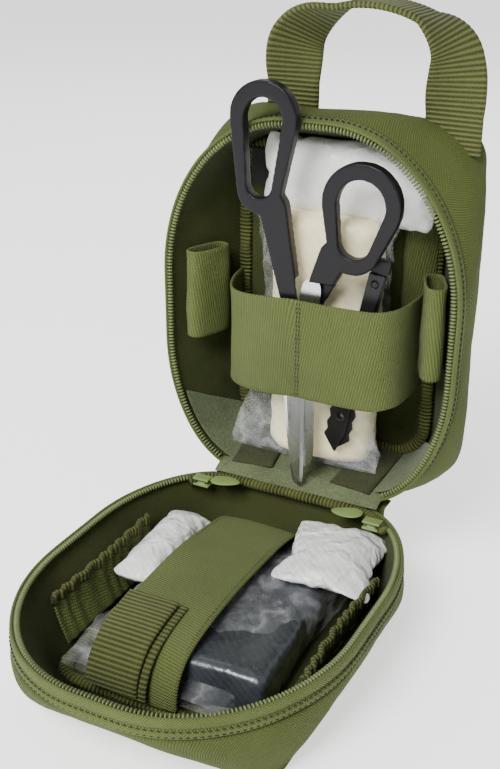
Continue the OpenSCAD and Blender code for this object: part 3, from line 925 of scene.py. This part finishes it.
# A moulded piece: the node's own shape with its edges rounded over
def roundedCopy(node, name, voxel, rounds, material):
    mesh = frame["nodes"][node].data.copy()
    mesh.name = name
    editMesh(mesh, lambda work: bmesh.ops.remove_doubles(work, verts=work.verts, dist=1e-6))
    piece = addPiece(name, mesh, material)
    grid = piece.modifiers.new("grid", "REMESH")
    grid.mode, grid.voxel_size, grid.use_smooth_shade = "VOXEL", voxel, True
    soft = piece.modifiers.new("soft", "SMOOTH")
    soft.iterations, soft.factor = rounds, 0.5
    bakeModifiers(piece)
    return piece


leafPull = dict(length=0.0165, width=0.0098, thick=0.0018, bow=0.0006, taper=0.25, around=48)


def makePull(name, node, body, side):
    low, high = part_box(node)
    middle = (Vector(low) + Vector(high)) / 2
    middle.z = high[2] - 0.0008
    turn = np.linspace(0, math.tau, leafPull["around"] + 1)[:-1]
    rings = []
    for s in np.linspace(1.0, 0.0, 9):
        reach = 0.5 * leafPull["length"] * np.cos(turn) * s
        half = 0.5 * leafPull["width"] * np.sign(np.sin(turn)) * np.abs(np.sin(turn)) ** 0.9 * s
        half = half * (1 + leafPull["taper"] * np.cos(turn) * side)
        rings.append(np.stack([reach, half, 0.5 * leafPull["thick"] * (1 - s ** 4) + 0 * reach], -1))
    top = np.array(rings)
    points = np.concatenate([top[::-1], (top * np.array([1, 1, -1.0]))[1:]])
    points[..., 2] += leafPull["bow"] * np.sin(points[..., 0] / leafPull["length"] * math.pi)
    points = points + np.array(middle)
    weave = np.zeros((len(points), leafPull["around"] + 1, 2))
    pull = gridPiece(name, points, weave, pullPaint, closedRow=True, capped=True)
    subdivide(pull, 1)
    settle(pull, body, "zipper_metal", node)


makeFabricHinge()
makeFloor()
makeHingeFlap()
makeHingeRoll()
for node, name in (("slider_left", "sliderLeft"), ("slider_right", "sliderRight")):
    settle(roundedCopy(node, name, 0.00045, 3, pullPaint), "front_half", "zipper_metal", node)
makePull("zipperPullLeft", "zipper_pull_left", "zipper_pull_left", -1)
makePull("zipperPullRight", "zipper_pull_right", "zipper_pull_right", 1)
print("the hinge and the zipper's ends are made")

# Straps, loops and label of the back half
backStrap = dict(low=0.059, width=0.048, thick=0.0013,
                 line=[(-50, 36), (-46, 20), (-38, 4), (-27, -5), (-12, -9), (4, -9.4), (24, -9),
                       (39, -6.6), (46.2, 3), (48.3, 20), (48.3, 33.4)])


def strapDrop(x):  # the strap sags, more at its left end
    return -0.0045 - 0.0060 * max(0.0, -x / 0.05) ** 1.2 - 0.0012 * max(0.0, x / 0.05)


def makeBackStrap():
    middle = backStrap["low"] + backStrap["width"] / 2
    line = smoothPath([(x * mm, middle, d * mm) for x, d in backStrap["line"]], 0.0012)
    line[:, 1] += np.array([strapDrop(x) for x in line[:, 0]])
    strap = strapPiece("backStrap", standUp(line), upright, backStrap["width"], backStrap["thick"],
                       elasticCloth, cells=24, crown=0.0, waves=(0.0008, 0.030), seed=11.0, edgeRoll=-0.0005)
    settle(strap, "back_half", "elastic_webbing", "back_strap")
    rows = []
    for x in (0.0022, 0.0036):
        vs = np.linspace(middle - 0.0225, middle + 0.0225, 20) + strapDrop(x)
        rows.append(standUp(np.stack([np.full(20, x), vs, np.full(20, -0.0105)], -1)))
    stitches = beadRow("backStrapStitches", rows, 0.0021, (0.0015, 0.0006, 0.0006), (0, -1, 0), darkThread)
    settle(stitches, "back_half", "elastic_webbing")


# A flat elastic sleeve, open at both ends, leaning on a side wall
sleeve = dict(halfWide=0.0046, halfDeep=0.0117, tall=0.044, thick=0.0013, lean=22, wall=0.062)


def makeLoop(name, node, side, depth, low):
    angle = math.radians(-side * sleeve["lean"])
    ring = []
    for a in np.linspace(0, math.tau, 65)[:-1]:
        c, s = math.cos(a), math.sin(a)
        x = sleeve["halfWide"] * math.copysign(abs(c) ** 0.75, c) - side * 0.004
        z = -sleeve["halfDeep"] * math.copysign(abs(s) ** 0.55, s)
        ring.append((side * sleeve["wall"] + x * math.cos(angle) + z * math.sin(angle), low + sleeve["tall"] / 2,
                     depth - x * math.sin(angle) + z * math.cos(angle)))
    ring = smoothPath(ring, 0.0012, True)
    loop = strapPiece(name, standUp(ring), upright, sleeve["tall"], sleeve["thick"], elasticCloth, cells=22,
                      closed=True,
                      waves=(0.0007, 0.012), seed=side * 3.0)
    settle(loop, "back_half", "elastic_webbing", node)


def makeInnerPocket():
    line = smoothPath([(0.0355, 0.104, 0.0385), (0.0385, 0.104, 0.0345), (0.0435, 0.104, 0.0335),
                       (0.0485, 0.104, 0.0345), (0.0520, 0.104, 0.0375)], 0.0011)
    band = strapPiece("innerPocket", standUp(line), upright, 0.060, 0.0012, elasticCloth, cells=30,
                      waves=(0.0006, 0.012), seed=21.0)
    settle(band, "back_half", "elastic_webbing", "inner_pocket")
    low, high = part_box("blank_label")
    path = np.array([[(low[0] + high[0]) / 2, low[1], z] for z in np.linspace(low[2], high[2], 20)])
    label = strapPiece("blankLabel", path, (1, 0, 0), 0.015, 0.0007, labelCloth, cells=8,
                       waves=(0.0006, 0.01))
    settle(label, "back_half", "label", "blank_label")


handle = dict(x=0.017, depth=0.033, span=0.078, width=0.026, thick=0.0026, foot=0.018, height=0.046,
              sewnLeft=0.007, sewnRight=0.016, rib=(0.0022, 0.00024))


# The handle's ends lie flat against the pouch and its webbing turns edge on at the top
def makeHandle():
    base = pouch["height"] + 0.0012
    half = handle["span"] / 2
    line = [(-half, -handle["sewnLeft"], handle["depth"]), (-half, handle["foot"] * 0.5, handle["depth"])]
    for a in np.radians(np.linspace(180, 0, 15)):
        rise = handle["foot"] + (handle["height"] - handle["foot"]) * max(0.0, math.sin(a)) ** 0.8
        line.append((half * math.cos(a), rise, handle["depth"]))
    line += [(half, handle["foot"] * 0.5, handle["depth"]), (half, -handle["sewnRight"], handle["depth"])]
    path = smoothPath([(x + handle["x"], v + base, d) for x, v, d in line], 0.00055)
    path = standUp(path)
    share = np.linspace(0, 1, len(path))
    rising, falling = (np.clip((way - 0.10) / 0.28, 0, 1) for way in (share, 1 - share))
    turn = np.where(share < 0.5, rising, 2 - falling)
    turn = turn * math.pi / 2
    tangent = unit(np.gradient(path, axis=0))
    lean = np.cross(tangent, (0, 1.0, 0))
    side = unit(np.cos(turn)[:, None] * -lean + np.sin(turn)[:, None] * np.array([0, 1.0, 0]))
    strap = strapPiece("carryHandle", path, side, handle["width"] - 0.001, handle["thick"], ribbedWebbing,
                       cells=14, ribs=handle["rib"], waves=(0.0003, 0.02), seed=31.0)
    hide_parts("carry_handle")
    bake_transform(strap)


makeBackStrap()
makeLoop("elasticLoopLeft", "elastic_loop_left", -1, 0.017, 0.068)
makeLoop("elasticLoopRight", "elastic_loop_right", 1, 0.019, 0.068)
makeInnerPocket()
makeHandle()
print("the back straps and the handle are made")

# Packets, gauze and bandages


# A flat pouch of two sheets sealed round its edge and blown up, so that its edge puckers.
def pillowMesh(name, width, length, cell, seed):
    nx, ny = int(round(width / cell)), int(round(length / cell))
    index, verts, faces = {}, [], []
    for side in (1, -1):
        for i in range(nx + 1):
            for j in range(ny + 1):
                edge = i in (0, nx) or j in (0, ny)
                key = (i, j, 0 if edge else side)
                if key not in index:
                    index[key] = len(verts)
                    a, b = 2 * i / nx - 1, 2 * j / ny - 1
                    rounding = 1 - 0.10 * (abs(a) ** 3) * (abs(b) ** 3)
                    lift = 0 if edge else side * 0.02 * (1 - a * a) * (1 - b * b)
                    lift += 0.004 * noise.noise(Vector((a * 3, b * 3, seed)))
                    verts.append((a * width / 2 * rounding, b * length / 2 * rounding, lift * width))
        for i in range(nx):
            for j in range(ny):
                quad = [index[(p, q, 0 if p in (0, nx) or q in (0, ny) else side)]
                        for p, q in ((i, j), (i + 1, j), (i + 1, j + 1), (i, j + 1))]
                faces.append(quad if side > 0 else quad[::-1])
    mesh = bpy.data.meshes.new(name)
    mesh.from_pydata(verts, [], faces)
    return mesh


# The cloth is blown up at a larger size, where the solver is steady
simulation = dict(scale=20.0, frames=20, pressure=4.0)


def blowUp(piece):
    frames = simulation["frames"]
    piece.data.transform(Matrix.Scale(simulation["scale"], 4))
    cloth = piece.modifiers.new("cloth", "CLOTH")
    s = cloth.settings
    s.quality, s.mass = 6, 0.25
    s.tension_stiffness = s.compression_stiffness = 22
    s.shear_stiffness, s.bending_stiffness = 8, 0.25
    s.use_pressure, s.uniform_pressure_force = True, simulation["pressure"]
    s.effector_weights.gravity = 0
    s.shrink_min = -0.04
    cloth.collision_settings.use_collision = False
    cloth.point_cache.frame_start, cloth.point_cache.frame_end = 1, frames
    scene = bpy.context.scene
    for f in range(1, frames + 1):
        scene.frame_set(f)
    bakeModifiers(piece)
    scene.frame_set(1)
    piece.data.transform(Matrix.Scale(1 / simulation["scale"], 4))


def fitted(points, size):
    low, high = points.min(0), points.max(0)
    return (points - (low + high) / 2) * (np.array(size) / (high - low))


def coordinates(mesh):
    values = np.empty(len(mesh.vertices) * 3)
    mesh.vertices.foreach_get("co", values)
    return values.reshape(-1, 3)


def setCoordinates(mesh, points):
    mesh.vertices.foreach_set("co", np.ascontiguousarray(points, float).ravel())
    mesh.update()


def packetPiece(name, size, cell, seed, material, crumple):
    width, length, thick = size
    piece = addPiece(name, pillowMesh(name, width, length, cell, seed), material)
    blowUp(piece)
    p = fitted(coordinates(piece.data), size)
    normals = np.array([v.normal[:] for v in piece.data.vertices])
    push = crumple * (creased(p, 0.013, seed) - 0.6) + 0.5 * crumple * creased(p, 0.005, seed)
    p = p + normals * push[:, None]
    setCoordinates(piece.data, fitted(p, size))
    shadeSmooth(piece.data)
    return piece


def spin(p, turn):  # about the vertical, in degrees
    c, s = math.cos(math.radians(turn)), math.sin(math.radians(turn))
    return np.stack([p[:, 0] * c - p[:, 1] * s, p[:, 0] * s + p[:, 1] * c, p[:, 2]], -1)


def moveMesh(piece, change, place, turn=0.0):  # bends the points with `change`, then turns and places them
    setCoordinates(piece.data, spin(change(coordinates(piece.data)), turn) + np.array(place))
    turnOutwards(piece.data)


def finishPacket(piece, body, slot, node):
    subdivide(piece, 1)
    settle(piece, body, slot, node)


left = packetPiece("gauzePacketLeft", (0.0255, 0.064, 0.0165), 0.0016, 3.3, whitePacket, 0.0009)
moveMesh(left, lambda p: p, (-0.0435, hinge[1] - 0.056, 0.0262), 3)
finishPacket(left, "gauze_packet_left", "white_packet", "gauze_packet_left")

right = packetPiece("gauzePacketRight", (0.046, 0.055, 0.0125), 0.0016, 7.9, whitePacket, 0.0011)


def droop(p):  # it hangs a little over the bandage's edge
    q = p.copy()
    q[:, 2] -= 14.0 * np.clip(p[:, 0] - 0.004, 0, 1) ** 2
    return q


moveMesh(right, droop, (0.0365, hinge[1] - 0.0395, 0.0345), 9)
finishPacket(right, "gauze_packet_right", "white_packet", "gauze_packet_right")

top = packetPiece("triangularBandage", (0.086, 0.040, 0.020), 0.0018, 12.1, frostedPacket, 0.0008)
moveMesh(top, lambda p: np.stack([p[:, 0], -p[:, 2], p[:, 1]], -1),
         (0.011, hinge[1] + 0.0235, hinge[2] + 0.1515))
finishPacket(top, "back_half", "white_packet", "triangular_bandage")
print("the packets are made")


# A long soft body from rings: half width and half thickness change along it
def longBody(name, rings, around, shape, place, material, crumple, seed, capped=True, coarse=0.012):
    rows = []
    turn = np.linspace(0, math.tau, around + 1)[:-1]
    for v, a, b, x, d in rings:
        c, s = np.cos(turn), np.sin(turn)
        px = x + a * np.sign(c) * np.abs(c) ** shape
        pd = d + b * np.sign(s) * np.abs(s) ** shape
        rows.append(np.stack([px, np.full(around, v), pd], -1))
    points = np.array(rows)
    middle = points.mean(1, keepdims=True)
    out = unit(points - middle)
    push = crumple * ((creased(points, coarse, seed) - 0.5) + 0.4 * creased(points, coarse * 0.4, seed + 3))
    points = points + out * push[..., None]
    run = np.linspace(0, 0.2, around + 1)
    weave = weaveMap(run, points[:, 0, 1])
    return gridPiece(name, place(points), weave, material, closedRow=True, capped=capped)


def between(values, t):
    return np.interp(t, np.linspace(0, 1, len(values)), values)


def roundEnd(t, reach):  # 0 at either end of a body, and 1 further in than `reach`
    near = min(t, 1 - t) / reach
    return math.sqrt(max(0.0, 1 - (1 - near) ** 2)) if near < 1 else 1.0


# Sizes along a body are lists from its low end to its high end
gauze = dict(low=0.013, length=0.124, halfWidth=0.0265, halfThick=0.0150, x=0.004, depth=0.021)
gauzeWrap = dict(low=0.012, length=0.126,
                 halfWidths=[0.040, 0.037, 0.032, 0.030, 0.030, 0.030, 0.032, 0.037],
                 halfThicks=[0.0015, 0.007, 0.0140, 0.0163, 0.0165, 0.0165, 0.013, 0.004],
                 xs=[-0.002, 0.000, 0.003, 0.004, 0.003, 0.001],
                 depths=[0.010, 0.015, 0.020, 0.021, 0.021, 0.021])
bandage = dict(low=0.0275, length=0.103, halfWidth=0.0345, halfThick=0.0085, depth=0.0245, turn=-4)
bandageWrap = dict(low=0.024, length=0.114,
                   halfWidths=[0.039, 0.0385, 0.0385, 0.039, 0.040, 0.038],
                   halfThicks=[0.006, 0.0125, 0.0128, 0.0128, 0.010, 0.002],
                   xs=[0.006, 0.005, 0.004, 0.001, -0.004, -0.008],
                   depths=[0.025, 0.0242, 0.0242, 0.0242, 0.026, 0.029])


def wrapRings(wrap):
    return [(wrap["low"] + wrap["length"] * t,
             *(between(wrap[key], t) for key in ("halfWidths", "halfThicks", "xs", "depths")))
            for t in np.linspace(0, 1, 90)]


def makeGauzeRoll():
    rings = []
    for t in np.linspace(0, 1, 70):
        end = roundEnd(t, 0.06)
        rings.append((gauze["low"] + gauze["length"] * t, gauze["halfWidth"] * (0.82 + 0.18 * end),
                      gauze["halfThick"] * (0.62 + 0.38 * end), gauze["x"], gauze["depth"]))
    roll = longBody("gauzeRoll", rings, 96, 0.72, standUp, creamGauze, 0.0008, 17.0)
    settle(roll, "back_half", "gauze", "gauze_roll")
    wrap = longBody("gauzeRollFilm", wrapRings(gauzeWrap), 120, 0.85, standUp, clearFilm, 0.0022, 41.0,
                    capped=False, coarse=0.014)
    settle(wrap, "back_half", "gauze")


def makePressureBandage():
    rings = []
    for t in np.linspace(0, 1, 80):
        end = roundEnd(t, 0.05)
        rings.append((bandage["low"] + bandage["length"] * t, bandage["halfWidth"] + 0.002 * end,
                      bandage["halfThick"] + 0.0025 * end, 0.0, bandage["depth"]))
    block = longBody("pressureBandage", rings, 150, 0.32, lambda p: p, blackWrap, 0.0011, 23.0, coarse=0.02)
    middle = np.array([0, bandage["low"] + bandage["length"] / 2, 0])
    turned = spin(coordinates(block.data) - middle, bandage["turn"]) + middle + np.array([0.005, 0, 0])
    setCoordinates(block.data, layDown(turned))
    turnOutwards(block.data)
    settle(block, "front_half", "black_wrap", "pressure_bandage")
    wrap = longBody("pressureBandageFilm", wrapRings(bandageWrap), 140, 0.5, layDown, clearFilm, 0.0018, 57.0,
                    capped=False, coarse=0.016)
    settle(wrap, "front_half", "black_wrap")


makeGauzeRoll()
makePressureBandage()
print("the gauze and the bandage are made")

# Shears and pocket tool
for node, name, voxel, rounds, body, material in (
        ("shears_handle_long", "shearsHandleLong", 0.0006, 9, "shears", handlePlastic),
        ("shears_handle_round", "shearsHandleRound", 0.0006, 9, "shears_half", handlePlastic),
        ("shears_screw", "shearsScrew", 0.0004, 2, "shears", bladeSteel),
        ("tool_leaf_front", "toolLeafFront", 0.00035, 2, "tool_leaf", toolSteel),
        ("tool_leaf_back", "toolLeafBack", 0.00035, 2, "pocket_tool", toolSteel),
        ("tool_pin", "toolPin", 0.0003, 2, "pocket_tool", toolSteel),
        ("tool_cap", "toolCap", 0.0004, 4, "pocket_tool", handlePlastic)):
    slot = {handlePlastic: "shears_plastic", bladeSteel: "shears_steel", toolSteel: "tool_steel"}[material]
    settle(roundedCopy(node, name, voxel, rounds, material), body, slot, node)


# A ground blade: its face is set in from its outline, so the edge slopes
def makeBlade(name, node, body, outline, front, back):
    smooth = smoothPath([(x, v, 0) for x, v in outline], 0.6, True)[:, :2] * mm + np.array([0.001, 0])
    normals = outlineNormals(smooth)
    rings = [atDepth(smooth - normals * inset, depth)
             for inset, depth in ((0.0, back), (0.0, front + 0.0006), (0.0015, front))]
    weave = np.zeros((len(rings), len(smooth) + 1, 2))
    blade = gridPiece(name, standUp(np.array(rings)), weave, bladeSteel, closedRow=True, capped=True)
    for polygon in blade.data.polygons:
        polygon.use_smooth = False
    settle(blade, body, "shears_steel", node)


makeBlade("shearsBladeLong", "shears_blade_long", "shears",
          [(-8.3, 108.5), (-7.8, 92), (-8.2, 81), (-7.6, 70), (-6.0, 42), (-3.2, 18), (-1.6, 8), (0.2, 5.0),
           (2.5, 4.8), (3.9, 8), (4.2, 18), (3.8, 42), (4.8, 66), (7.2, 76), (7.7, 82), (6.0, 89),
           (0.5, 95), (-2.7, 108.5)],
          -0.0057, -0.0042)
makeBlade("shearsBladeRound", "shears_blade_round", "shears_half",
          [(8.3, 108.5), (7.8, 92), (8.2, 81), (7.6, 70), (7.2, 42), (7.4, 26), (6.4, 18.5), (3.6, 16.5),
           (1.0, 19),
           (-0.4, 27), (-1.6, 46), (-4.8, 66), (-7.2, 76), (-7.7, 82), (-6.0, 89), (-0.5, 95), (2.7, 108.5)],
          -0.0040, -0.0023)
print("the shears and the tool are made")

# The rear
rear = dict(depth=0.0465, x=0.005, width=0.116, low=0.012, height=0.156, rowLow=0.026, rowPitch=0.0508,
            rowWidth=0.0254, tackPitch=0.0382, strapWidth=0.0254, strapLow=0.016, strapHigh=0.160)


def makeRipAwayPanel():
    box = (rear["width"] / 2, rear["low"], rear["low"] + rear["height"], 0.010, rear["x"])
    outline = boxOutline(box)
    rings = [atDepth(outline - outlineNormals(outline) * inset, rear["depth"] + rise)
             for inset, rise in ((0.0012, 0.0), (0.0002, 0.0004), (0.0, 0.0012), (0.0004, 0.0020),
                                 (0.0016, 0.0026), (0.0034, 0.0026), (0.0042, 0.0021))]
    inner = boxOutline(box, 0.0046)
    face = panelRings(inner, rear["depth"] + 0.0022, np.linspace(1, 0.02, 26))
    back = panelRings(boxOutline(box, 0.0014), rear["depth"], np.linspace(0.02, 1, 10))
    points = np.concatenate([back, np.array(rings), face])
    weave = np.concatenate([points, points[:, :1]], 1)[..., :2]
    panel = gridPiece("ripAwayPanel", standUp(points), weave, outerCloth, closedRow=True, capped=True)
    settle(panel, "rip_away", "outer_fabric", "rip_away_panel")
    line = standUp(atDepth(boxOutline(box, 0.0040), rear["depth"] + 0.0024))
    settle(beadRow("ripAwayPanelStitches", [line], 0.0027, (0.0018, 0.0006, 0.0006), (0, 1, 0), darkThread,
                   closed=True), "rip_away", "outer_fabric")


def makeLoadWebbing():
    rows = []
    tacks = []
    reach = rear["width"] / 2 + 0.002
    halfPitch = rear["tackPitch"] / 2
    for i in range(3):
        v = rear["rowLow"] + i * rear["rowPitch"] + rear["rowWidth"] / 2
        xs = np.arange(-reach, reach + 1e-6, 0.0005)
        fromTack = np.abs(np.mod(xs + halfPitch, 2 * halfPitch) - halfPitch)
        lift = np.interp(fromTack, (0, 0.003, 0.010, halfPitch), (0, 0, 0.0005, 0.0007))
        line = np.stack([xs + rear["x"], np.full_like(xs, v), rear["depth"] + 0.0030 + lift], -1)
        rows.append(strapPiece("loadWebbingRow" + str(i), standUp(line), (0, 0, 1), rear["rowWidth"], 0.0012,
                               ribbedWebbing, cells=10, ribs=(0.0019, 0.00016)))
        for k in range(-1, 3):
            x = rear["x"] - halfPitch + k * 2 * halfPitch
            if abs(x - rear["x"]) < reach:
                zigzag = [(x + (0.0009 if n % 2 else -0.0009), v - 0.0115 + 0.023 * n / 30,
                           rear["depth"] + 0.0041) for n in range(31)]
                tacks.append(standUp(zigzag))
    for n, row in enumerate(rows):
        settle(row, "rip_away", "load_webbing", *(["load_webbing"] if n == 0 else []))
    settle(beadRow("loadWebbingTacks", tacks, 0.0009, (0.0014, 0.0004, 0.0004), (0, 1, 0), darkThread),
           "rip_away", "load_webbing")


def makeMountingStrap(name, node, x, body):
    vs = np.arange(rear["strapLow"], rear["strapHigh"], 0.0005)
    line = np.stack([np.full_like(vs, x), vs, np.full_like(vs, rear["depth"] + 0.0052)], -1)
    strap = strapPiece(name, standUp(line), (1, 0, 0), rear["strapWidth"], 0.0013, ribbedWebbing, cells=10,
                       ribs=(0.0019, 0.00014))
    settle(strap, body, "load_webbing", node)


makeRipAwayPanel()
makeLoadWebbing()
makeMountingStrap("mountingStrapLeft", "mounting_strap_left", rear["x"] - 0.030, "mounting_strap_left")
makeMountingStrap("mountingStrapRight", "mounting_strap_right", rear["x"] + 0.030, "mounting_strap_right")
for node, name, body in (("snap_left", "snapLeft", "mounting_strap_left"),
                         ("snap_right", "snapRight", "mounting_strap_right")):
    settle(roundedCopy(node, name, 0.0004, 4, snapPaint), body, "snap_metal", node)
print("the rear is made")
